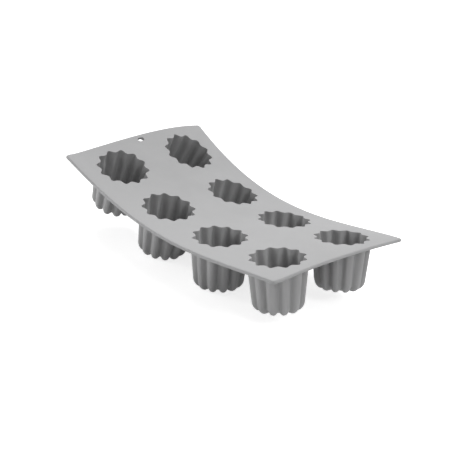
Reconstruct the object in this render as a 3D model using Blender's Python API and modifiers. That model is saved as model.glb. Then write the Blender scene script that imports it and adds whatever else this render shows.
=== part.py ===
"""Flexible silicone mould for small fluted cakes: a thin sheet with eight cups hanging from it.

It stands on the bases of its middle cups with the sheet bowed, both ends raised. Every piece is
first made flat: x runs along the sheet towards the end with the hanging hole, y across it, and z
is 0 on the sheet's top face. The flex functions then carry the flat shape onto the bowed sheet.
Lengths are in metres and angles in radians.
"""

import math

import bmesh
import bpy
import numpy as np
from mathutils import Matrix, Vector

# Fluted cups; radii of the cavity are taken on the crests of its flutes
flute_count = 12
mouth_radius = 0.0272
flute_depth = 0.0037
base_flute_depth = 0.0034
cavity_tip = 0.08
outside_tip = -0.15
cup_depth = 0.050
wall = 0.0020
draft = math.radians(5.8)
base_corner = 0.0080
base_rise = 0.0105
base_flute_lift = 0.0034
base_fade = 0.0045
base_thickness = 0.0020
stiff_depth = 0.015

# Sheet around the cups
sheet_thickness = 0.0034
row_count = 4
row_gap = 0.0168
web_land = 0.0023
column_gap = 0.0296
end_margin = 0.0086
side_margin = 0.0163
corner_radius = 0.0030
edge_radius = 0.0009
hole_width = 0.0066
hole_length = 0.0086
hole_inset = 0.0070

# Gap between neighbouring pieces
clearance = 0.0003

# Bow of the sheet: its slope is a polynomial of the distance from the middle over half the length
bow_linear = math.radians(25.52)
bow_square = math.radians(8.68)
bow_cube = math.radians(-10.29)

# Warp of the sheet, as heights at its long edges in polynomials of the same distance: twist and
# droop grow with the first and second power across the sheet, and curl is an S between the edges
twist_square = 0.0042
twist_cube = 0.0019
droop = -0.0036
droop_square = -0.0019
droop_cube = -0.0019
curl_square = 0.0017
curl_cube = 0.0025

# Facets
steps_per_flute = 4
corner_steps = 3
edge_steps = 2
hole_steps = 24
facet_length = 0.0125
facet_width = 0.0225
bow_stations = 601
round_profile = 0.5
crease_angle = math.radians(50)

silicone_grey = (0.47, 0.475, 0.48)
silicone_roughness = 0.62

outer_radius = mouth_radius + wall
row_pitch = 2 * outer_radius + row_gap
column_pitch = 2 * outer_radius + column_gap
half_length = (row_count - 1) * row_pitch / 2 + outer_radius + end_margin
half_width = column_pitch / 2 + outer_radius + side_margin
web_width = row_gap - 2 * web_land
cup_steps = flute_count * steps_per_flute
corner_depth = cup_depth - base_rise
base_flat_radius = outer_radius - math.tan(draft) * corner_depth - base_corner
base_opening = base_flat_radius - base_fade
base_radius = base_opening - clearance
seat_reach = mouth_radius / 4
weld_distance = clearance / 30


def row_x(row):
    """Flat x of a row's middle; row 1 is at the end with the hanging hole."""
    return ((row_count + 1) / 2 - row) * row_pitch


def column_y(side):
    """Flat y of a column's middle, left of the sheet's length where side is 1."""
    return side * column_pitch / 2


def bow_table():
    """Distances along the sheet's middle line, its slopes there, and its x and z."""
    along = np.linspace(-half_length, half_length, bow_stations)
    share = along / half_length
    slope = bow_linear * share + bow_square * share**2 + bow_cube * share**3
    step = along[1] - along[0]
    middle = bow_stations // 2

    def summed(values):
        total = np.concatenate(([0.0], np.cumsum((values[1:] + values[:-1]) / 2 * step)))
        return total - total[middle]

    return along, slope, summed(np.cos(slope)), summed(np.sin(slope))


bow_along, bow_slope, bow_x, bow_z = bow_table()


def warp(x, y):
    """Height of the warped sheet over its bowed middle line."""
    share = x / half_length
    side = y / half_width
    twist = twist_square * share**2 + twist_cube * share**3
    arch = droop + droop_square * share**2 + droop_cube * share**3
    curl = curl_square * share**2 + curl_cube * share**3
    return arch * side**2 - twist * side + curl * (side**3 - side)


def flexed(point):
    """Place on the bowed sheet of a flat point, z along the sheet's normal."""
    slope = np.interp(point.x, bow_along, bow_slope)
    height = point.z + warp(point.x, point.y)
    return Vector((
        np.interp(point.x, bow_along, bow_x) - height * math.sin(slope),
        point.y,
        np.interp(point.x, bow_along, bow_z) + height * math.cos(slope),
    ))


def seat(x, y):
    """Frame of the sheet's top face at a flat place: its matrix, with z along the normal."""
    along = flexed(Vector((x + seat_reach, y, 0))) - flexed(Vector((x - seat_reach, y, 0)))
    across = flexed(Vector((x, y + seat_reach, 0))) - flexed(Vector((x, y - seat_reach, 0)))
    up = along.cross(across).normalized()
    forward = (along - along.dot(up) * up).normalized()
    turn = Matrix((forward, up.cross(forward), up)).transposed()
    return Matrix.Translation(flexed(Vector((x, y, 0)))) @ turn.to_4x4()


def flexed_cup(point, x, y):
    """Place of a cup's flat point: its rim follows the sheet, and below stiff_depth it is stiff."""
    stiff = np.interp(-point.z, (0, stiff_depth), (0, 1))
    rigid = seat(x, y) @ (point - Vector((x, y, 0)))
    return flexed(point).lerp(rigid, stiff)


def wave(angle, tip):
    """1 on the crest of a flute and -1 in a valley; a tip over 0 narrows the crests."""
    turn = flute_count * angle
    return math.cos(turn) + tip * (math.cos(2 * turn) - 1)


def flute(mesh, presses):
    """Press the valleys of flutes into a mesh turned about z.

    presses gives each vertex's way in towards the axis, its way up, and the tip of its wave.
    """
    for vertex, (inward, upward, tip) in zip(mesh.vertices, presses):
        radius = math.hypot(vertex.co.x, vertex.co.y)
        if radius > 0:
            valley = (1 - wave(math.atan2(vertex.co.y, vertex.co.x), tip)) / 2
            vertex.co.x *= 1 - inward * valley / radius
            vertex.co.y *= 1 - inward * valley / radius
            vertex.co.z += upward * valley


def applied(obj):
    """Replace an object's mesh with the one that its modifiers make."""
    graph = bpy.context.evaluated_depsgraph_get()
    mesh = bpy.data.meshes.new_from_object(
        obj.evaluated_get(graph), preserve_all_data_layers=True, depsgraph=graph)
    obj.modifiers.clear()
    old = obj.data
    obj.data = mesh
    bpy.data.meshes.remove(old)
    return obj


def cylinder(name, radius, top, bottom, sides):
    """Upright cylinder round the z axis."""
    bpy.ops.mesh.primitive_cylinder_add(
        vertices=sides, radius=radius, depth=top - bottom, location=(0, 0, 0))
    obj = bpy.context.active_object
    obj.name = name
    obj.data.transform(Matrix.Translation((0, 0, (top + bottom) / 2)))
    return obj


def slot(name, width, length, top, bottom, sides):
    """Upright slot with round ends round the z axis, its length along y."""
    obj = cylinder(name, width / 2, top, bottom, sides)
    obj.data.transform(Matrix.Rotation(math.pi / sides, 4, "Z"))
    for vertex in obj.data.vertices:
        vertex.co.y += math.copysign((length - width) / 2, vertex.co.y)
    return obj


def corner(radius, height, tip):
    """Profile points round a cup's bottom corner, where the flutes turn in and run out."""
    points = []
    for step in range(corner_steps + 1):
        turn = step / corner_steps * math.pi / 2
        points.append((
            base_flat_radius + (radius - base_flat_radius) * math.cos(turn),
            -corner_depth - height * math.sin(turn),
            base_flute_depth * math.cos(turn),
            base_flute_lift * math.sin(turn),
            tip,
        ))
    return points


def wall_points(radius, tip):
    """Profile points of a cup's wall, at the sheet's top face and where the cup turns stiff."""
    share = stiff_depth / corner_depth
    inward = flute_depth + (base_flute_depth - flute_depth) * share
    stiff_radius = radius - math.tan(draft) * stiff_depth
    return [(radius, 0, flute_depth, 0, tip), (stiff_radius, -stiff_depth, inward, 0, tip)]


def cup_profile():
    """Closed outline of the cup's wall: radius, z, and the presses of its flutes."""
    floor = -cup_depth + base_thickness
    outside_low = outer_radius - math.tan(draft) * corner_depth
    cavity_low = mouth_radius - math.tan(draft) * corner_depth
    outside = wall_points(outer_radius, outside_tip)
    outside += corner(outside_low, base_rise, outside_tip)
    lip = [(base_opening, -cup_depth, 0, 0, 0), (base_opening, floor, 0, 0, 0)]
    cavity = wall_points(mouth_radius, cavity_tip)
    cavity += corner(cavity_low, base_rise - base_thickness, cavity_tip)
    return outside + lip + cavity[::-1]


def flat_cup(name):
    """Fluted wall of one cup, round the z axis and open where its base lies."""
    profile = cup_profile()
    count = len(profile)
    mesh = bpy.data.meshes.new(name)
    mesh.from_pydata(
        [(point[0], 0, point[1]) for point in profile],
        [(index, (index + 1) % count) for index in range(count)],
        [])
    for column, press in enumerate(press_names, start=2):
        mesh.attributes.new(press, "FLOAT", "POINT")
        mesh.attributes[press].data.foreach_set("value", [point[column] for point in profile])
    obj = bpy.data.objects.new(name, mesh)
    bpy.context.collection.objects.link(obj)
    screw = obj.modifiers.new("turn", "SCREW")
    screw.axis = "Z"
    screw.angle = 2 * math.pi
    screw.steps = cup_steps
    screw.render_steps = cup_steps
    screw.use_merge_vertices = True
    screw.merge_threshold = weld_distance
    applied(obj)
    presses = [[item.value for item in obj.data.attributes[press].data] for press in press_names]
    flute(obj.data, zip(*presses))
    return obj


def is_flat(face):
    """Whether a face is part of the sheet's top or underside."""
    return abs(face.normal.z) > math.cos(math.radians(10))


def slab(name, x_low, x_high, ends):
    """Flat length of the sheet; ends holds -1 or 1 for each side that is the sheet's own end."""
    bpy.ops.mesh.primitive_cube_add(size=1, location=(0, 0, 0))
    obj = bpy.context.active_object
    obj.name = name
    size = Matrix.Diagonal((x_high - x_low, 2 * half_width, sheet_thickness, 1))
    place = Matrix.Translation(((x_low + x_high) / 2, 0, -sheet_thickness / 2))
    obj.data.transform(place @ size)
    bm = bmesh.new()
    bm.from_mesh(obj.data)

    def is_outline(face):
        joined = abs(face.normal.x) > math.cos(math.radians(1))
        return not is_flat(face) and not (joined and math.copysign(1, face.normal.x) not in ends)

    corners = [edge for edge in bm.edges if all(is_outline(face) for face in edge.link_faces)]
    bmesh.ops.bevel(
        bm, geom=corners, offset=corner_radius, segments=corner_steps, profile=round_profile,
        affect="EDGES")
    rims = []
    for edge in bm.edges:
        flats = [face for face in edge.link_faces if is_flat(face)]
        outlines = [face for face in edge.link_faces if is_outline(face)]
        if len(flats) == 1 and len(outlines) == 1:
            rims.append(edge)
    bmesh.ops.bevel(
        bm, geom=rims, offset=edge_radius, segments=edge_steps, profile=round_profile,
        affect="EDGES")
    cut_across(bm, x_low, x_high, facet_length, Vector((1, 0, 0)))
    cut_across(bm, -half_width, half_width, facet_width, Vector((0, 1, 0)))
    bm.to_mesh(obj.data)
    bm.free()
    return obj


def cut_across(bm, low, high, spacing, direction):
    """Cut a mesh into even strips no wider than the spacing, so that it can bend."""
    strips = math.ceil((high - low) / spacing)
    for strip in range(1, strips):
        bmesh.ops.bisect_plane(
            bm, geom=bm.verts[:] + bm.edges[:] + bm.faces[:], dist=weld_distance / 10,
            plane_co=direction * (low + (high - low) * strip / strips), plane_no=direction)


def cut(obj, cutters):
    """Take the cutters out of an object, and remove them."""
    for cutter in cutters:
        cutter.hide_render = True
        cutter.display_type = "WIRE"
        move(cutter, cutter_collection)
        difference = obj.modifiers.new("cut", "BOOLEAN")
        difference.operation = "DIFFERENCE"
        difference.solver = "EXACT"
        difference.object = cutter
    applied(obj)
    for cutter in cutters:
        bpy.data.objects.remove(cutter)
    return obj


def deck(row):
    """Panel of the sheet round one row's two mouths, with the hanging hole in row 1."""
    reach = row_pitch / 2 - web_width / 2 - clearance / 2
    x_low = -half_length if row == row_count else row_x(row) - reach
    x_high = half_length if row == 1 else row_x(row) + reach
    ends = [side for side, last in ((-1, row_count), (1, 1)) if row == last]
    obj = slab(f"deck_row_{row}", x_low, x_high, ends)
    cutters = []
    for side in (-1, 1):
        mouth = cylinder(
            "mouth_cutter", outer_radius + clearance, sheet_thickness, -2 * sheet_thickness,
            cup_steps)
        flute(mouth.data, [(flute_depth, 0, outside_tip)] * len(mouth.data.vertices))
        mouth.location = (row_x(row), column_y(side), 0)
        cutters.append(mouth)
    if row == 1:
        hole = slot(
            "hole_cutter", hole_width, hole_length, sheet_thickness, -2 * sheet_thickness,
            hole_steps)
        hole.location = (half_length - hole_inset, 0, 0)
        cutters.append(hole)
    cut(obj, cutters)
    bend(obj, flexed)
    return obj


def web(row):
    """Narrow strip that bends between a row and the next one."""
    middle = row_x(row) - row_pitch / 2
    reach = web_width / 2 - clearance / 2
    obj = slab(f"flex_web_{row}{row + 1}", middle - reach, middle + reach, [])
    bend(obj, flexed)
    return obj


def cup(row, side):
    """Fluted wall of a row's cup."""
    x, y = row_x(row), column_y(side)
    obj = flat_cup(f"cup_{side_name[side]}_{row}")
    obj.data.transform(Matrix.Translation((x, y, 0)))
    bend(obj, lambda point: flexed_cup(point, x, y))
    return obj


def base(row, side):
    """Round base of a row's cup, which a thumb pushes up to free the cake."""
    x, y = row_x(row), column_y(side)
    obj = cylinder(
        f"cup_base_{side_name[side]}_{row}", base_radius, -cup_depth + base_thickness, -cup_depth,
        cup_steps)
    obj.data.transform(Matrix.Translation((x, y, 0)))
    bend(obj, lambda point: flexed_cup(point, x, y))
    return obj


def bend(obj, place):
    """Cut a piece's faces into triangles and carry its vertices from flat to flexed."""
    bm = bmesh.new()
    bm.from_mesh(obj.data)
    bmesh.ops.triangulate(bm, faces=bm.faces)
    for vertex in bm.verts:
        vertex.co = place(vertex.co)
    bm.to_mesh(obj.data)
    bm.free()


def silicone(obj):
    """Matt grey silicone of one piece."""
    material = bpy.data.materials.new(f"{obj.name}_silicone")
    material.use_nodes = True
    shader = material.node_tree.nodes["Principled BSDF"]
    shader.inputs["Base Color"].default_value = (*silicone_grey, 1)
    shader.inputs["Roughness"].default_value = silicone_roughness
    shader.inputs["Metallic"].default_value = 0
    obj.data.materials.clear()
    obj.data.materials.append(material)


def shade(obj):
    """Shade the round walls smooth and keep the crisp edges."""
    obj.data.shade_smooth()
    obj.data.set_sharp_from_angle(angle=crease_angle)


def move(obj, collection):
    """Keep an object in one collection only."""
    for other in obj.users_collection:
        other.objects.unlink(obj)
    collection.objects.link(obj)


def stand(pieces):
    """Shift that puts the middle of the pieces' box over the origin and their lowest point on it."""
    points = [vertex.co for piece in pieces for vertex in piece.data.vertices]
    low = [min(point[axis] for point in points) for axis in range(3)]
    high = [max(point[axis] for point in points) for axis in range(3)]
    return Vector((-(low[0] + high[0]) / 2, -(low[1] + high[1]) / 2, -low[2]))


def joint_axis(name, place, parent):
    """Empty on a joint's axis, which carries what moves about it."""
    empty = bpy.data.objects.new(name, None)
    mould_collection.objects.link(empty)
    empty.empty_display_size = web_width
    empty.parent = parent
    empty.location = place - (world_place(parent) if parent else Vector())
    return empty


def world_place(obj):
    """Place of an object whose parents are moved and not turned."""
    place = obj.location.copy()
    while obj.parent:
        obj = obj.parent
        place += obj.location
    return place


def carry(piece, origin, parent):
    """Hang a piece on its parent with its own origin at a place, and its shape where it is."""
    piece.data.transform(Matrix.Translation(-origin))
    piece.parent = parent
    piece.location = origin - (world_place(parent) if parent else Vector())


for old in list(bpy.data.objects):
    bpy.data.objects.remove(old)

mould_collection = bpy.data.collections.new("canele_mould")
cutter_collection = bpy.data.collections.new("cutters")
bpy.context.scene.collection.children.link(mould_collection)
bpy.context.scene.collection.children.link(cutter_collection)

side_name = {1: "left", -1: "right"}
press_names = ("flute_inward", "flute_upward", "flute_tip")
rows = range(1, row_count + 1)
decks = {row: deck(row) for row in rows}
webs = {row: web(row) for row in rows if row < row_count}
cups = {(row, side): cup(row, side) for row in rows for side in side_name}
bases = {(row, side): base(row, side) for row in rows for side in side_name}
pieces = [*decks.values(), *webs.values(), *cups.values(), *bases.values()]

shift = stand(pieces)
for piece in pieces:
    piece.data.transform(Matrix.Translation(shift))
    move(piece, mould_collection)
    silicone(piece)
    shade(piece)

# Row 2 carries the rest: rows 1 and 3 bend about the webs beside it, and row 4 hangs on row 3
root_row = 2
web_axis = {
    row: shift + flexed(Vector((row_x(row) - row_pitch / 2, 0, -sheet_thickness / 2)))
    for row in webs
}
carriers = {root_row: None}
for row in range(root_row - 1, 0, -1):
    carriers[row] = joint_axis(f"bend_{row}{row + 1}", web_axis[row], carriers[row + 1])
for row in range(root_row + 1, row_count + 1):
    carriers[row] = joint_axis(f"bend_{row - 1}{row}", web_axis[row - 1], carriers[row - 1])

for row in rows:
    carrier = carriers[row]
    hinge = world_place(carrier) if carrier else Vector()
    carry(decks[row], hinge, carrier)
    if row in webs:
        carry(webs[row], hinge, carrier)
    for side in side_name:
        carry(cups[row, side], hinge, carrier)
        underside = seat(row_x(row), column_y(side)) @ Vector((0, 0, -cup_depth))
        carry(bases[row, side], shift + underside, carrier)
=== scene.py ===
"""Looks of the bowed silicone canele mould: sheet, webs and fluted cups in matte grey silicone.

Every piece is modelled flat, x along the sheet towards the hanging hole, y across it and z 0 on
the top face, and is then carried onto the bowed sheet. Lengths are in metres.
"""

import math

import bmesh
import bpy
import numpy as np
from mathutils import Matrix, Vector


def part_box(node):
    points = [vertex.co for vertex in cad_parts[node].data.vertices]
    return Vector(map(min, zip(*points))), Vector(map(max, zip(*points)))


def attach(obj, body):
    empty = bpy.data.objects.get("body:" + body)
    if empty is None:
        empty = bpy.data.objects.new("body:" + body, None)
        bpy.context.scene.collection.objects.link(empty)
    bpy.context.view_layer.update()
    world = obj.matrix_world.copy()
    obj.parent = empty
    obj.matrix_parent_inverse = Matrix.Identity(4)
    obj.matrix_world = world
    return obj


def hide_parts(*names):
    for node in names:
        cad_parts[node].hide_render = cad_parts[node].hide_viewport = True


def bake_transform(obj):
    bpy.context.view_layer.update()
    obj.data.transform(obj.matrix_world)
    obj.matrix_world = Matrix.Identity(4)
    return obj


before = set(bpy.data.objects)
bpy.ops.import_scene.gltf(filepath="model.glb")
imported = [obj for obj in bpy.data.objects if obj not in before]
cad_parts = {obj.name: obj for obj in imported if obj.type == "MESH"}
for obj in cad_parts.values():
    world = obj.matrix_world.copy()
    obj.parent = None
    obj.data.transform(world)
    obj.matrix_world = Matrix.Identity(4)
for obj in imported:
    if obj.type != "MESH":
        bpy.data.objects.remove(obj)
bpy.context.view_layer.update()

# Cups; radii of the cavity are taken on the crests of its flutes, at the top face
flute_count = 12
mouth_radius = 0.0272
flute_depth = 0.0037
base_flute_depth = 0.0034
cavity_tip = 0.08
outside_tip = -0.20
cup_depth = 0.050
wall = 0.0020
draft = math.radians(5.8)
base_corner = 0.0080
base_rise = 0.0105
base_flute_lift = 0.0034
base_fade = 0.0062
base_thickness = 0.0020
stiff_depth = 0.016
root_fillet = 0.0012

# Sheet
sheet_thickness = 0.0034
row_gap = 0.0168
web_land = 0.0023
column_gap = 0.0296
end_margin = 0.0086
side_margin = 0.0163
corner_radius = 0.0030
rim_radius = 0.0013
mouth_edge = 0.0002
hole_width = 0.0048
hole_length = 0.0072
hole_edge = 0.0004
hole_inset = 0.0070
hole_margin = 0.0022

# Bow and warp of the sheet, as terms of rising powers of the distance from its middle
bow_terms = (math.radians(25.52), math.radians(8.68), math.radians(-10.29))
twist_terms = (0.0042, 0.0019)
droop_terms = (-0.0036, -0.0019, -0.0019)
curl_terms = (0.0017, 0.0025)

# How far the left long edge turns up and in beyond the cups: in the middle, then what both ends
# add, then what the end with the hole adds and the other end lacks
edge_lift_terms = (0.0004, 0.0008, 0.0002)
edge_pull_terms = (0.0008, 0.0003, -0.0007)

# A pushed cup shortens between these depths
push_start = 0.020
push_end = 0.049

# Silicone: colours, roughness, dust, and painted shade and light on the flutes: grooves darker, crests
# lighter
sheet_tone = (0.402, 0.402, 0.406)
sheet_roughness = 0.56
sheet_dust = 0.5
# The cups are the sheet's silicone, toned a little darker as painted shade of the cavities and cup
# sides
cup_shaded_tone = (0.380, 0.380, 0.383)
cup_roughness = 0.54
cup_dust = 0.35
cup_groove_shade = 0.08

# Fineness of the meshes
steps_per_flute = 24
rounding_steps = 4
corner_steps = 10
fade_steps = 6
upper_wall_steps = 8
lower_wall_steps = 7
outside_wall_steps = 13
across_steps = 84
along_steps = 60
tile_cuts = 6
web_cuts = 12
hole_steps = 48
hole_edge_steps = 3
bow_stations = 1201

# Turn between two faces past which their edge is shaded sharp, and past which it is a corner
sharp_angle = math.radians(40)
corner_angle = math.radians(50)

# Points as close as this are merged, and points as near to the axis as this lie on it
weld_distance = 1e-5
axis_distance = 1e-6

# Light: each lamp's azimuth and elevation in degrees, and its watts
lamps = {
    "high_right": (240, 66, 15.4),
    "low_left": (45, 10, 10.2),
    "low_front": (95, 10, 2.3),
    "left_fill": (330, 42, 11.2),
    "right_fill": (180, 42, 6.1),
}
lamp_distance = 1.8
lamp_size = 0.6
world_light = 0.2
floor_size = 12
floor_tone = (0.8, 0.8, 0.8)
floor_glow = 0.76

# Camera: its place, where it looks, where its right side points, and its lens and film width
# in millimetres
camera_place = (-0.7518, 0.7941, 0.5082)
camera_forward = (0.6315, -0.6676, -0.3944)
camera_right = (-0.6791, -0.7217, 0.1343)
camera_lens = 95.56
camera_film = 36

outer_radius = mouth_radius + wall
row_pitch = 2 * outer_radius + row_gap
column_pitch = 2 * outer_radius + column_gap
half_length = 1.5 * row_pitch + outer_radius + end_margin
half_width = column_pitch / 2 + outer_radius + side_margin
web_width = row_gap - 2 * web_land
corner_depth = cup_depth - base_rise
base_flat_radius = outer_radius - math.tan(draft) * corner_depth - base_corner
mouth_points = flute_count * steps_per_flute
rows = (1, 2, 3, 4)
sides = {1: "left", -1: "right"}


def row_x(row):
    """Flat x of a row's middle; row 1 is at the end with the hanging hole."""
    return (2.5 - row) * row_pitch


def column_y(side):
    """Flat y of a column's middle."""
    return side * column_pitch / 2


def bow_table():
    """Distances along the middle line, with the slope, x and z of the bowed sheet there."""
    along = np.linspace(-half_length, half_length, bow_stations)
    share = along / half_length
    slope = sum(term * share ** (power + 1) for power, term in enumerate(bow_terms))
    step = along[1] - along[0]

    def summed(values):
        total = np.concatenate(([0.0], np.cumsum((values[1:] + values[:-1]) / 2 * step)))
        return total - total[len(total) // 2]

    return along, slope, summed(np.cos(slope)), summed(np.sin(slope))


bow_along, bow_slope, bow_x, bow_z = bow_table()


def smooth_step(values):
    """Eased share from 0 to 1."""
    held = np.clip(values, 0, 1)
    return held * held * (3 - 2 * held)


def bowed(flat):
    """Places on the bowed sheet of flat points, an array of x, y, z rows."""
    x, y, z = flat.T
    share, side = x / half_length, y / half_width
    twist = twist_terms[0] * share**2 + twist_terms[1] * share**3
    droop = droop_terms[0] + droop_terms[1] * share**2 + droop_terms[2] * share**3
    curl = curl_terms[0] * share**2 + curl_terms[1] * share**3
    edge = smooth_step((y - column_pitch / 2 - outer_radius) / side_margin)
    lift, pull = (edge * (middle + ends * share**2 + skew * share**3)
                  for middle, ends, skew in (edge_lift_terms, edge_pull_terms))
    height = z + droop * side**2 - twist * side + curl * (side**3 - side) + lift
    slope = np.interp(x, bow_along, bow_slope)
    return np.stack((
        np.interp(x, bow_along, bow_x) - height * np.sin(slope),
        y - pull,
        np.interp(x, bow_along, bow_z) + height * np.cos(slope),
    ), axis=1)


def seat(x, y):
    """Origin and axes of the sheet's top face at a flat place, the third along its normal."""
    reach = mouth_radius / 4
    probes = np.array([[x, y, 0], [x + reach, y, 0], [x - reach, y, 0], [x, y + reach, 0],
                       [x, y - reach, 0]])
    middle, ahead, behind, left, right = bowed(probes)
    up = np.cross(ahead - behind, left - right)
    up /= np.linalg.norm(up)
    forward = (ahead - behind) - (ahead - behind) @ up * up
    forward /= np.linalg.norm(forward)
    return middle, np.stack((forward, np.cross(up, forward), up))


def bowed_cup(flat, x, y):
    """Places of a cup's flat points: its rim follows the sheet and below it the cup is stiff."""
    origin, axes = seat(x, y)
    rigid = origin + (flat - np.array([x, y, 0])) @ axes
    stiff = smooth_step((-flat[:, 2] - sheet_thickness) / (stiff_depth - sheet_thickness))
    return bowed(flat) * (1 - stiff[:, None]) + rigid * stiff[:, None]


def cup_point(row, side, depth):
    """Point on a cup's axis at a depth below the sheet's top face, in the frame."""
    origin, axes = seat(row_x(row), column_y(side))
    return Vector(origin - axes[2] * depth) + home


def home_shift():
    """Way from the flat model's place to the frame's, read off the cup bases of the frame."""
    ways = []
    for row in rows:
        for side, name in sides.items():
            low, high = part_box(f"cup_base_{name}_{row}")
            origin, axes = seat(row_x(row), column_y(side))
            ways.append((low + high) / 2 - Vector(origin - axes[2] * (cup_depth - base_thickness / 2)))
    return sum(ways, Vector()) / len(ways)


home = home_shift()


def wave(angle, tip):
    """1 on a flute's crest and -1 in its valley; a tip over 0 narrows the crests."""
    turn = flute_count * angle
    return np.cos(turn) + tip * (np.cos(2 * turn) - 1)


def depth_of_flutes(depth):
    """Depth of the flutes at a depth below the top face."""
    share = np.clip(depth / corner_depth, 0, 1)
    return flute_depth + (base_flute_depth - flute_depth) * share


def collar_radius(angle):
    """Radius at which a cup's collar meets the sheet round it."""
    return outer_radius - flute_depth * (1 - wave(angle, outside_tip)) / 2


def points_of(mesh):
    """A mesh's vertices as an array."""
    values = np.empty(len(mesh.vertices) * 3)
    mesh.vertices.foreach_get("co", values)
    return values.reshape(-1, 3)


def set_points(mesh, values):
    """Move a mesh's vertices to the rows of an array."""
    mesh.vertices.foreach_set("co", np.ascontiguousarray(values, dtype=np.float32).ravel())
    mesh.update()


def choose(obj):
    """Make one object the only selected one, and active."""
    bpy.ops.object.select_all(action="DESELECT")
    obj.select_set(True)
    bpy.context.view_layer.objects.active = obj


def edit(obj, mode="VERT"):
    """Open an object in edit mode with nothing selected."""
    choose(obj)
    bpy.ops.object.mode_set(mode="EDIT")
    bpy.ops.mesh.select_mode(type=mode)
    bpy.ops.mesh.select_all(action="DESELECT")


def leave():
    """Leave edit mode."""
    bpy.ops.object.mode_set(mode="OBJECT")


def pick_edges(obj, test):
    """Select the edges of an object in edit mode that pass a test."""
    bm = bmesh.from_edit_mesh(obj.data)
    for edge in bm.edges:
        edge.select_set(test(edge))
    bm.select_flush_mode()
    bmesh.update_edit_mesh(obj.data)


def settle(obj):
    """Put an object's place into its mesh."""
    choose(obj)
    bpy.ops.object.transform_apply(location=True, rotation=True, scale=True)


def joined(parts, name):
    """Join objects into one with a name."""
    choose(parts[0])
    for part in parts[1:]:
        part.select_set(True)
    bpy.ops.object.join()
    parts[0].name = name
    parts[0].data.name = name
    return parts[0]


def copied(pattern, name, x=0, y=0, turn=0):
    """Copy of a piece with its own mesh, turned about z and moved over the flat sheet."""
    obj = bpy.data.objects.new(name, pattern.data.copy())
    bpy.context.scene.collection.objects.link(obj)
    obj.data.transform(Matrix.Translation((x, y, 0)) @ Matrix.Rotation(turn, 4, "Z"))
    return obj


def border_points(x_low, x_high, rounded):
    """Border of a left tile, from the middle of its +x side; rounded lists corners by their x."""
    half = across_steps // 2
    knots = np.cumsum([0, half, along_steps, across_steps, along_steps, half])
    middle = column_y(1)
    steps = np.arange(mouth_points)
    xs = np.interp(steps, knots, [x_high, x_high, x_low, x_low, x_high, x_high])
    ys = np.interp(steps, knots, [middle, half_width, half_width, 0, 0, middle])
    for corner_x in rounded:
        inward = -math.copysign(1, corner_x)
        centre = np.array([corner_x + inward * corner_radius, half_width - corner_radius])
        away = np.abs(xs - corner_x) + np.abs(ys - half_width)
        for step in np.flatnonzero(away < corner_radius):
            side = 1 if abs(xs[step] - corner_x) > abs(ys[step] - half_width) else -1
            turn = math.radians(45) * (1 + side * away[step] / corner_radius)
            xs[step] = centre[0] - inward * corner_radius * math.cos(turn)
            ys[step] = centre[1] + corner_radius * math.sin(turn)
    return np.stack((xs, ys), axis=1)


def tile(x_low, x_high, rounded):
    """Flat top of the sheet round the left one of a row's cups, out to the tile's border."""
    centre = np.array([0, column_y(1), 0])
    rings = []
    for part in ("collar", "border"):
        bpy.ops.mesh.primitive_circle_add(
            vertices=mouth_points, radius=outer_radius, fill_type="NOTHING", location=centre)
        ring = bpy.context.active_object
        settle(ring)
        points = points_of(ring.data)
        angle = np.arctan2(points[:, 1] - centre[1], points[:, 0])
        if part == "collar":
            radius = collar_radius(angle)
            points[:, 0] = radius * np.cos(angle)
            points[:, 1] = centre[1] + radius * np.sin(angle)
        else:
            step = np.rint(angle / (2 * math.pi) * mouth_points).astype(int) % mouth_points
            points[:, :2] = border_points(x_low, x_high, rounded)[step]
        set_points(ring.data, points)
        rings.append(ring)
    obj = joined(rings, "tile")
    edit(obj, "EDGE")
    bpy.ops.mesh.select_all(action="SELECT")
    bpy.ops.mesh.bridge_edge_loops(number_cuts=tile_cuts, interpolation="LINEAR")
    leave()
    return obj


def panel_top(name, x_low, x_high, rounded=()):
    """Flat top of one row's panel, its middle at the origin: a left tile and its mirror image."""
    obj = tile(x_low, x_high, rounded)
    obj.name = name
    choose(obj)
    bpy.ops.object.modifier_add(type="MIRROR")
    mirror = obj.modifiers[-1]
    mirror.use_axis = (False, True, False)
    mirror.merge_threshold = weld_distance
    bpy.ops.object.modifier_apply(modifier=mirror.name)
    return obj


def thicken(obj):
    """Extrude the flat top down to the underside and face it outwards."""
    edit(obj, "FACE")
    bpy.ops.mesh.select_all(action="SELECT")
    bpy.ops.mesh.extrude_region_move(TRANSFORM_OT_translate={"value": (0, 0, -sheet_thickness)})
    bpy.ops.mesh.select_all(action="SELECT")
    bpy.ops.mesh.normals_make_consistent(inside=False)
    leave()


def on_outline(point):
    """Whether a flat point lies on the sheet's own outline."""
    corner = np.array([half_length, half_width]) - corner_radius
    beyond = np.abs(point[:2]) - corner
    if beyond[0] > 0 and beyond[1] > 0:
        return math.hypot(*beyond) > corner_radius - 10 * weld_distance
    return max(beyond) > corner_radius - weld_distance


def is_level(edge):
    """Whether an edge lies along the top face or the underside."""
    first, second = edge.verts
    return abs(first.co.z - second.co.z) < sheet_thickness / 10


def sharp_turn(edge):
    """Whether an edge is a corner between two faces."""
    return len(edge.link_faces) == 2 and edge.calc_face_angle() > corner_angle


def round_rim(obj):
    """Round the sheet's outer edge."""
    edit(obj, "EDGE")
    pick_edges(obj, lambda edge: sharp_turn(edge) and is_level(edge)
               and all(on_outline(np.array(vert.co)) for vert in edge.verts))
    bpy.ops.mesh.bevel(offset=rim_radius, segments=rounding_steps, profile=0.5, affect="EDGES")
    leave()


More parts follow.
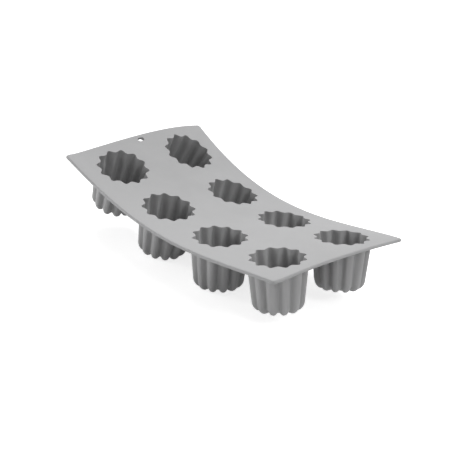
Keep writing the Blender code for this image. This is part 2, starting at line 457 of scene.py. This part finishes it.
def window_round_hole(obj, x):
    """Cut the panel's faces along a rectangle round the hanging hole, and delete those within."""
    reach = Vector((hole_width / 2 + hole_margin, hole_length / 2 + hole_margin))
    near = 3 * reach.y

    def pick_faces(reach_x, reach_y):
        bm = bmesh.from_edit_mesh(obj.data)
        for face in bm.faces:
            middle = face.calc_center_median()
            face.select_set(abs(middle.x - x) < reach_x and abs(middle.y) < reach_y)
        bmesh.update_edit_mesh(obj.data)

    edit(obj, "FACE")
    for side in (1, -1):
        pick_faces(near, near)
        bpy.ops.mesh.bisect(plane_co=(x + side * reach.x, 0, 0), plane_no=(side, 0, 0))
    for side in (1, -1):
        pick_faces(reach.x, near)
        bpy.ops.mesh.bisect(plane_co=(x, side * reach.y, 0), plane_no=(0, side, 0))
    pick_faces(reach.x, reach.y)
    bpy.ops.mesh.delete(type="FACE")
    leave()


def open_hole(obj, x):
    """Give the flat top its hanging hole, a slot with round ends that lies across the sheet."""
    window_round_hole(obj, x)
    bpy.ops.mesh.primitive_circle_add(
        vertices=hole_steps, radius=hole_width / 2, fill_type="NOTHING",
        rotation=(0, 0, math.pi / hole_steps))
    slot = bpy.context.active_object
    settle(slot)
    points = points_of(slot.data)
    points[:, 1] += np.sign(points[:, 1]) * (hole_length - hole_width) / 2
    set_points(slot.data, points + np.array([x, 0, 0]))
    obj = joined([obj, slot], obj.name)
    near = 2 * hole_length

    def borders_hole(edge):
        middle = (edge.verts[0].co + edge.verts[1].co) / 2
        away = math.hypot(middle.x - x, middle.y)
        return len(edge.link_faces) < 2 and away < near and not on_outline(np.array(middle))

    edit(obj, "EDGE")
    pick_edges(obj, borders_hole)
    bpy.ops.mesh.fill(use_beauty=True)
    leave()


def round_hole(obj, x):
    """Round the hanging hole's edges."""
    def is_hole_edge(edge):
        middle = (edge.verts[0].co + edge.verts[1].co) / 2
        return (sharp_turn(edge) and is_level(edge)
                and abs(middle.x - x) < hole_width / 2 + hole_edge
                and abs(middle.y) < hole_length / 2 + hole_edge)

    edit(obj, "EDGE")
    pick_edges(obj, is_hole_edge)
    bpy.ops.mesh.bevel(offset=hole_edge, segments=hole_edge_steps, profile=0.5, affect="EDGES")
    leave()


def finish_mesh(obj, carry):
    """Carry a flat piece onto the bowed sheet, into the frame, and shade it."""
    flat = points_of(obj.data)
    set_points(obj.data, carry(flat) + np.array(home))
    choose(obj)
    bpy.ops.object.shade_smooth_by_angle(angle=sharp_angle)
    bpy.ops.object.modifier_add(type="WEIGHTED_NORMAL")
    weighted = obj.modifiers[-1]
    weighted.keep_sharp = True
    weighted.weight = 70
    bpy.ops.object.modifier_apply(modifier=weighted.name)


def solid_panel(obj):
    """Make a flat top a panel of the sheet's thickness with a rounded outer edge."""
    edit(obj)
    bpy.ops.mesh.select_all(action="SELECT")
    bpy.ops.mesh.remove_doubles(threshold=weld_distance)
    leave()
    thicken(obj)
    round_rim(obj)
    return obj


def sheet_rows():
    """The four panels of the sheet: two alike in the middle, and two alike at the ends."""
    reach = row_pitch / 2 - web_width / 2
    end = outer_radius + end_margin
    middle = panel_top("middle_panel", -reach, reach)
    last = panel_top("end_panel", -end, reach, (-end,))
    panels = {
        1: copied(last, "sheet_row_1", row_x(1), 0, math.pi),
        2: copied(middle, "sheet_row_2", row_x(2)),
        3: copied(middle, "sheet_row_3", row_x(3)),
        4: copied(last, "sheet_row_4", row_x(4)),
    }
    hole_x = half_length - hole_inset
    open_hole(panels[1], hole_x)
    for row, panel in panels.items():
        solid_panel(panel)
        if row == 1:
            round_hole(panel, hole_x)
        finish_mesh(panel, bowed)
    bpy.data.objects.remove(middle)
    bpy.data.objects.remove(last)
    return panels


def flat_web():
    """A strip that bends between two rows, flat, with its middle at the origin."""
    bpy.ops.mesh.primitive_grid_add(
        x_subdivisions=web_cuts, y_subdivisions=2 * across_steps, size=1, location=(0, 0, 0))
    obj = bpy.context.active_object
    obj.name = "web"
    obj.scale = (web_width, 2 * half_width, 1)
    settle(obj)
    thicken(obj)
    round_rim(obj)
    return obj


def corner_points(radius, height, tip):
    """Profile round a bottom corner, where the flutes turn in and run out."""
    points = []
    for turn in np.linspace(0, math.pi / 2, corner_steps + 1):
        points.append((
            base_flat_radius + (radius - base_flat_radius) * math.cos(turn),
            -corner_depth - height * math.sin(turn),
            base_flute_depth * math.cos(turn),
            base_flute_lift * math.sin(turn),
            tip,
        ))
    return points


def fading(points):
    """Profile along the base, where the flutes fade out towards the middle, and on to the axis."""
    radius, z, inward, upward, tip = points[-1]
    faded = []
    for share in np.linspace(0, 1, fade_steps + 1)[1:]:
        lift = upward * (1 - smooth_step(share))
        faded.append((radius - base_fade * share, z, 0, lift, tip))
    middle = (radius - base_fade) / 2
    return faded + [(middle, z, 0, 0, 0), (0, z, 0, 0, 0)]


def wall_points(mouth, tip, levels):
    """Profile down a tapering wall at some depths; mouth is its radius at the top face."""
    return [(mouth - math.tan(draft) * depth, -depth, depth_of_flutes(depth), 0, tip)
            for depth in levels]


def levels_between(top, bottom, count):
    """Depths that cut a stretch into equal steps, without its two ends."""
    return np.linspace(top, bottom, count + 1)[1:-1]


def cup_profile():
    """Outline of a cup from the cavity's floor over its rim to its underside, with its flutes.

    The rim holds the rounded edge of the mouth and a flat collar that is flush with the sheet.
    The second value tells how many of the points line the cavity.
    """
    inside = []
    for turn in np.linspace(math.pi / 2, 0, rounding_steps + 1):
        inside.append((
            mouth_radius + mouth_edge * (1 - math.cos(turn)),
            -mouth_edge * (1 - math.sin(turn)),
            flute_depth, 0, cavity_tip))
    levels = np.concatenate((
        levels_between(mouth_edge, stiff_depth, upper_wall_steps), [stiff_depth],
        levels_between(stiff_depth, corner_depth, lower_wall_steps)))
    inside += wall_points(mouth_radius, cavity_tip, levels)
    inside += corner_points(
        mouth_radius - math.tan(draft) * corner_depth, base_rise - base_thickness, cavity_tip)
    inside += fading(inside)

    outside = [
        (outer_radius, 0, flute_depth, 0, outside_tip),
        (outer_radius, -sheet_thickness, flute_depth, 0, outside_tip)]
    root = outer_radius - math.tan(draft) * sheet_thickness
    for turn in np.linspace(0, math.pi / 2, rounding_steps + 1):
        outside.append((
            root + root_fillet * (1 - math.sin(turn)),
            -sheet_thickness - root_fillet * (1 - math.cos(turn)),
            flute_depth, 0, outside_tip))
    levels = levels_between(sheet_thickness + root_fillet, corner_depth, outside_wall_steps)
    outside += wall_points(outer_radius, outside_tip, levels)
    outside += corner_points(
        outer_radius - math.tan(draft) * corner_depth, base_rise, outside_tip)
    outside += fading(outside)
    return inside[::-1] + outside, len(inside)


def spun_cup():
    """Fluted cup round the z axis: a profile drawn by extruding a point, spun and pressed."""
    profile, inside_steps = cup_profile()
    bpy.ops.mesh.primitive_plane_add(size=wall, location=(0, 0, profile[0][1]))
    obj = bpy.context.active_object
    settle(obj)
    obj.data.attributes.new("profile_step", "FLOAT", "POINT")
    edit(obj)
    bpy.ops.mesh.select_all(action="SELECT")
    bpy.ops.mesh.merge(type="CENTER")
    for start, end in zip(profile, profile[1:]):
        bpy.ops.mesh.extrude_region_move(
            TRANSFORM_OT_translate={"value": (end[0] - start[0], 0, end[1] - start[1])})
    leave()
    points = points_of(obj.data)
    order = [int(np.argmin(np.hypot(points[:, 0] - point[0], points[:, 2] - point[1])))
             for point in profile]
    steps = np.zeros(len(points))
    steps[order] = np.arange(len(profile))
    obj.data.attributes["profile_step"].data.foreach_set("value", steps)
    edit(obj)
    bpy.ops.mesh.select_all(action="SELECT")
    bpy.ops.mesh.spin(
        steps=mouth_points, angle=2 * math.pi, center=(0, 0, 0), axis=(0, 0, 1),
        use_auto_merge=True)
    bpy.ops.mesh.select_all(action="SELECT")
    bpy.ops.mesh.remove_doubles(threshold=weld_distance)
    bpy.ops.mesh.normals_make_consistent(inside=False)
    leave()
    press(obj, profile, inside_steps)
    return obj


def press(obj, profile, inside_steps):
    """Press the flutes into a spun cup, and note how far each point lies in a groove for painted
    shade.
    """
    mesh = obj.data
    steps = np.empty(len(mesh.vertices))
    mesh.attributes["profile_step"].data.foreach_get("value", steps)
    steps = np.rint(steps).astype(int)
    inward, upward, tip = np.array(profile)[steps, 2:].T
    points = points_of(mesh)
    angle = np.arctan2(points[:, 1], points[:, 0])
    radius = np.hypot(points[:, 0], points[:, 1])
    valley = (1 - wave(angle, tip)) / 2
    off_axis = radius > axis_distance
    kept = np.where(off_axis, 1 - inward * valley / np.maximum(radius, axis_distance), 1)
    points[:, :2] *= kept[:, None]
    points[:, 2] += upward * valley
    set_points(mesh, points)
    mesh.attributes.remove(mesh.attributes["profile_step"])
    # How far each point lies in a groove, read by the material for the painted shade of the grooves
    groove = np.where(steps < inside_steps, 1 - valley, valley)
    fluted = np.clip(np.maximum(inward / base_flute_depth, upward / base_flute_lift), 0, 1)
    groove = 0.5 + (groove - 0.5) * fluted
    mesh.attributes.new("groove", "FLOAT", "POINT")
    mesh.attributes["groove"].data.foreach_set("value", groove.astype(np.float32))


def cup(pattern, row, side, finishes):
    """Copy of the cup, set in its place in the sheet; its rim has the sheet's finish."""
    x, y = row_x(row), column_y(side)
    obj = copied(pattern, f"fluted_cup_{sides[side]}_{row}", x, y)
    for finish in finishes:
        obj.data.materials.append(finish)
    for face in obj.data.polygons:
        face.material_index = 1 if face.center.z > -mouth_edge else 0
    finish_mesh(obj, lambda flat: bowed_cup(flat, x, y))
    return obj


def noise(nodes, links, place, scale=5, detail=2):
    """Noise texture over the points that a socket gives."""
    node = nodes.new("ShaderNodeTexNoise")
    node.inputs["Scale"].default_value = scale
    node.inputs["Detail"].default_value = detail
    links.new(place, node.inputs["Vector"])
    return node


def remapped(nodes, links, value, before, after):
    """A value carried from one range to another, and held within that."""
    node = nodes.new("ShaderNodeMapRange")
    node.inputs["From Min"].default_value, node.inputs["From Max"].default_value = before
    node.inputs["To Min"].default_value, node.inputs["To Max"].default_value = after
    links.new(value, node.inputs["Value"])
    return node.outputs["Result"]


def combined(nodes, links, operation, *values):
    """Result of a Math node's operation on sockets or plain numbers."""
    node = nodes.new("ShaderNodeMath")
    node.operation = operation
    for value, entry in zip(values, node.inputs):
        if isinstance(value, bpy.types.NodeSocket):
            links.new(value, entry)
        else:
            entry.default_value = value
    return node.outputs["Value"]


def shaded(nodes, links, color, share):
    """A colour times a grey share."""
    node = nodes.new("ShaderNodeMix")
    node.data_type = "RGBA"
    node.blend_type = "MULTIPLY"
    node.inputs["Factor"].default_value = 1
    links.new(color, node.inputs["A"])
    links.new(share, node.inputs["B"])
    return node.outputs["Result"]


def silicone_group():
    """Node group for the moulded silicone's surface: cloudy tone, dust, grain and their roughness."""
    group = bpy.data.node_groups.new("moulded_silicone", "ShaderNodeTree")
    sockets = (
        ("Tone", "INPUT", "NodeSocketColor"),
        ("Cloud Size", "INPUT", "NodeSocketFloat"),
        ("Dust", "INPUT", "NodeSocketFloat"),
        ("Roughness", "INPUT", "NodeSocketFloat"),
        ("Color", "OUTPUT", "NodeSocketColor"),
        ("Roughness", "OUTPUT", "NodeSocketFloat"),
        ("Height", "OUTPUT", "NodeSocketFloat"),
    )
    for name, way, kind in sockets:
        group.interface.new_socket(name, in_out=way, socket_type=kind)
    nodes, links = group.nodes, group.links
    entry = nodes.new("NodeGroupInput")
    result = nodes.new("NodeGroupOutput")
    place = nodes.new("ShaderNodeTexCoord").outputs["Object"]

    clouds = noise(nodes, links, place, detail=5)
    clouds.inputs["Roughness"].default_value = 0.55
    links.new(entry.outputs["Cloud Size"], clouds.inputs["Scale"])
    cloud_tone = remapped(nodes, links, clouds.outputs["Fac"], (0.3, 0.7), (0.94, 1.05))
    toned = shaded(nodes, links, entry.outputs["Tone"], cloud_tone)

    specks = nodes.new("ShaderNodeTexVoronoi")
    specks.inputs["Scale"].default_value = 420
    links.new(place, specks.inputs["Vector"])
    speck_mask = remapped(nodes, links, specks.outputs["Distance"], (0.06, 0.12), (1, 0))
    sparse = noise(nodes, links, place, scale=95)
    few = remapped(nodes, links, sparse.outputs["Fac"], (0.58, 0.64), (0, 1))
    chosen = combined(nodes, links, "MULTIPLY", speck_mask, few)
    dusty = combined(nodes, links, "MULTIPLY", chosen, entry.outputs["Dust"])
    dusted = nodes.new("ShaderNodeMix")
    dusted.data_type = "RGBA"
    dusted.inputs["B"].default_value = (0.7, 0.7, 0.69, 1)
    links.new(dusty, dusted.inputs["Factor"])
    links.new(toned, dusted.inputs["A"])
    links.new(dusted.outputs["Result"], result.inputs["Color"])

    grain = noise(nodes, links, place, scale=1500, detail=3)
    ripple = noise(nodes, links, place, scale=60, detail=2)
    height = combined(
        nodes, links, "MULTIPLY_ADD", ripple.outputs["Fac"], 1.6, grain.outputs["Fac"])
    links.new(height, result.inputs["Height"])

    gloss = remapped(nodes, links, clouds.outputs["Fac"], (0.3, 0.7), (-0.07, 0.07))
    rough = combined(nodes, links, "ADD", gloss, entry.outputs["Roughness"])
    links.new(rough, result.inputs["Roughness"])
    return group


def silicone(name, group, tone, roughness, dust, grooves=0):
    """Matte grey silicone; grooves paints shade and light: flute grooves darker, crests lighter."""
    material = bpy.data.materials.new(name)
    material.use_nodes = True
    nodes, links = material.node_tree.nodes, material.node_tree.links
    shader = nodes["Principled BSDF"]
    shader.inputs["Specular IOR Level"].default_value = 0.25
    shader.inputs["Sheen Weight"].default_value = 0.03
    shader.inputs["Sheen Roughness"].default_value = 0.5
    surface = nodes.new("ShaderNodeGroup")
    surface.node_tree = group
    surface.inputs["Tone"].default_value = (*tone, 1)
    surface.inputs["Cloud Size"].default_value = 26
    surface.inputs["Dust"].default_value = dust
    surface.inputs["Roughness"].default_value = roughness
    color = surface.outputs["Color"]
    # Painted shade and light: the grooves between the flutes darker, their crests lighter
    if grooves:
        groove = nodes.new("ShaderNodeAttribute")
        groove.attribute_name = "groove"
        shade = remapped(nodes, links, groove.outputs["Fac"], (0, 1), (1 + grooves, 1 - grooves))
        color = shaded(nodes, links, color, shade)
    links.new(color, shader.inputs["Base Color"])
    links.new(surface.outputs["Roughness"], shader.inputs["Roughness"])
    bump = nodes.new("ShaderNodeBump")
    bump.inputs["Strength"].default_value = 0.35
    bump.inputs["Distance"].default_value = 0.00006
    links.new(surface.outputs["Height"], bump.inputs["Height"])
    links.new(bump.outputs["Normal"], shader.inputs["Normal"])
    return material


def make_mould():
    """Model every piece and give it its finish; the sheet's panels are hung on their rows' bodies."""
    group = silicone_group()
    sheet_silicone = silicone("sheet_silicone", group, sheet_tone, sheet_roughness, sheet_dust)
    cup_silicone = silicone(
        "cup_silicone", group, cup_shaded_tone, cup_roughness, cup_dust, cup_groove_shade)

    for row, panel in sheet_rows().items():
        panel.data.materials.append(sheet_silicone)
        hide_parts(f"deck_row_{row}")
        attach(panel, f"row_{row}")

    web_pattern = flat_web()
    for row in rows[:-1]:
        web = copied(web_pattern, f"sheet_web_{row}{row + 1}", row_x(row) - row_pitch / 2)
        finish_mesh(web, bowed)
        web.data.materials.append(sheet_silicone)
        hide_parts(f"flex_web_{row}{row + 1}")
        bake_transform(web)
    bpy.data.objects.remove(web_pattern)

    cup_pattern = spun_cup()
    for row in rows:
        for side, name in sides.items():
            piece = cup(cup_pattern, row, side, (cup_silicone, sheet_silicone))
            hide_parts(f"cup_{name}_{row}", f"cup_base_{name}_{row}")
            cup_point(row, side, push_start)
            cup_point(row, side, push_end)
            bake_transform(piece)
    bpy.data.objects.remove(cup_pattern)


def seen_directly(nodes, links):
    """1 for what is seen straight, in a reflection or through something clear, and 0 for light."""
    path = nodes.new("ShaderNodeLightPath")
    seen = path.outputs["Is Camera Ray"]
    for ray in ("Is Glossy Ray", "Is Transmission Ray"):
        seen = combined(nodes, links, "MAXIMUM", seen, path.outputs[ray])
    return seen


def make_floor():
    """Pale floor that keeps the mould's shadow and runs out of the view."""
    bpy.ops.mesh.primitive_plane_add(size=floor_size, location=(0, 0, 0))
    floor = bpy.context.active_object
    floor.name = "floor"
    material = bpy.data.materials.new("pale_floor")
    material.use_nodes = True
    nodes, links = material.node_tree.nodes, material.node_tree.links
    shader = nodes["Principled BSDF"]
    shader.inputs["Base Color"].default_value = (*floor_tone, 1)
    shader.inputs["Roughness"].default_value = 0.9
    shader.inputs["Specular IOR Level"].default_value = 0.1
    shader.inputs["Emission Color"].default_value = (1, 1, 1, 1)
    glow = combined(nodes, links, "MULTIPLY", seen_directly(nodes, links), floor_glow)
    links.new(glow, shader.inputs["Emission Strength"])
    floor.data.materials.append(material)


def make_light():
    """Soft studio lamps, all aimed at the mould, and a pale world."""
    for name, (azimuth, elevation, watts) in lamps.items():
        data = bpy.data.lights.new(name, "AREA")
        data.shape = "DISK"
        data.size = lamp_size
        data.energy = watts
        lamp = bpy.data.objects.new(name, data)
        turn, tilt = math.radians(azimuth), math.radians(elevation)
        level = math.cos(tilt)
        place = Vector((level * math.cos(turn), level * math.sin(turn), math.sin(tilt)))
        lamp.location = place * lamp_distance
        lamp.rotation_mode = "QUATERNION"
        lamp.rotation_quaternion = (-place).to_track_quat("-Z", "Y")
        bpy.context.scene.collection.objects.link(lamp)

    world = bpy.data.worlds.new("studio")
    bpy.context.scene.world = world
    world.use_nodes = True
    nodes, links = world.node_tree.nodes, world.node_tree.links
    background = nodes["Background"]
    background.inputs["Color"].default_value = (1, 1, 1, 1)
    strength = remapped(nodes, links, seen_directly(nodes, links), (0, 1), (world_light, 1))
    links.new(strength, background.inputs["Strength"])


def make_camera():
    """Camera at the photograph's angle, with its slight roll."""
    data = bpy.data.cameras.new("camera")
    data.sensor_width = camera_film
    data.lens = camera_lens
    camera = bpy.data.objects.new("camera", data)
    forward = Vector(camera_forward).normalized()
    right = Vector(camera_right)
    right = (right - right.dot(forward) * forward).normalized()
    turn = Matrix((right, right.cross(forward), -forward)).transposed()
    camera.matrix_world = Matrix.Translation(camera_place) @ turn.to_4x4()
    bpy.context.scene.collection.objects.link(camera)
    bpy.context.scene.camera = camera


bpy.ops.object.select_all(action="DESELECT")
make_mould()
make_floor()
make_light()
make_camera()
bpy.context.scene.view_settings.view_transform = "Standard"
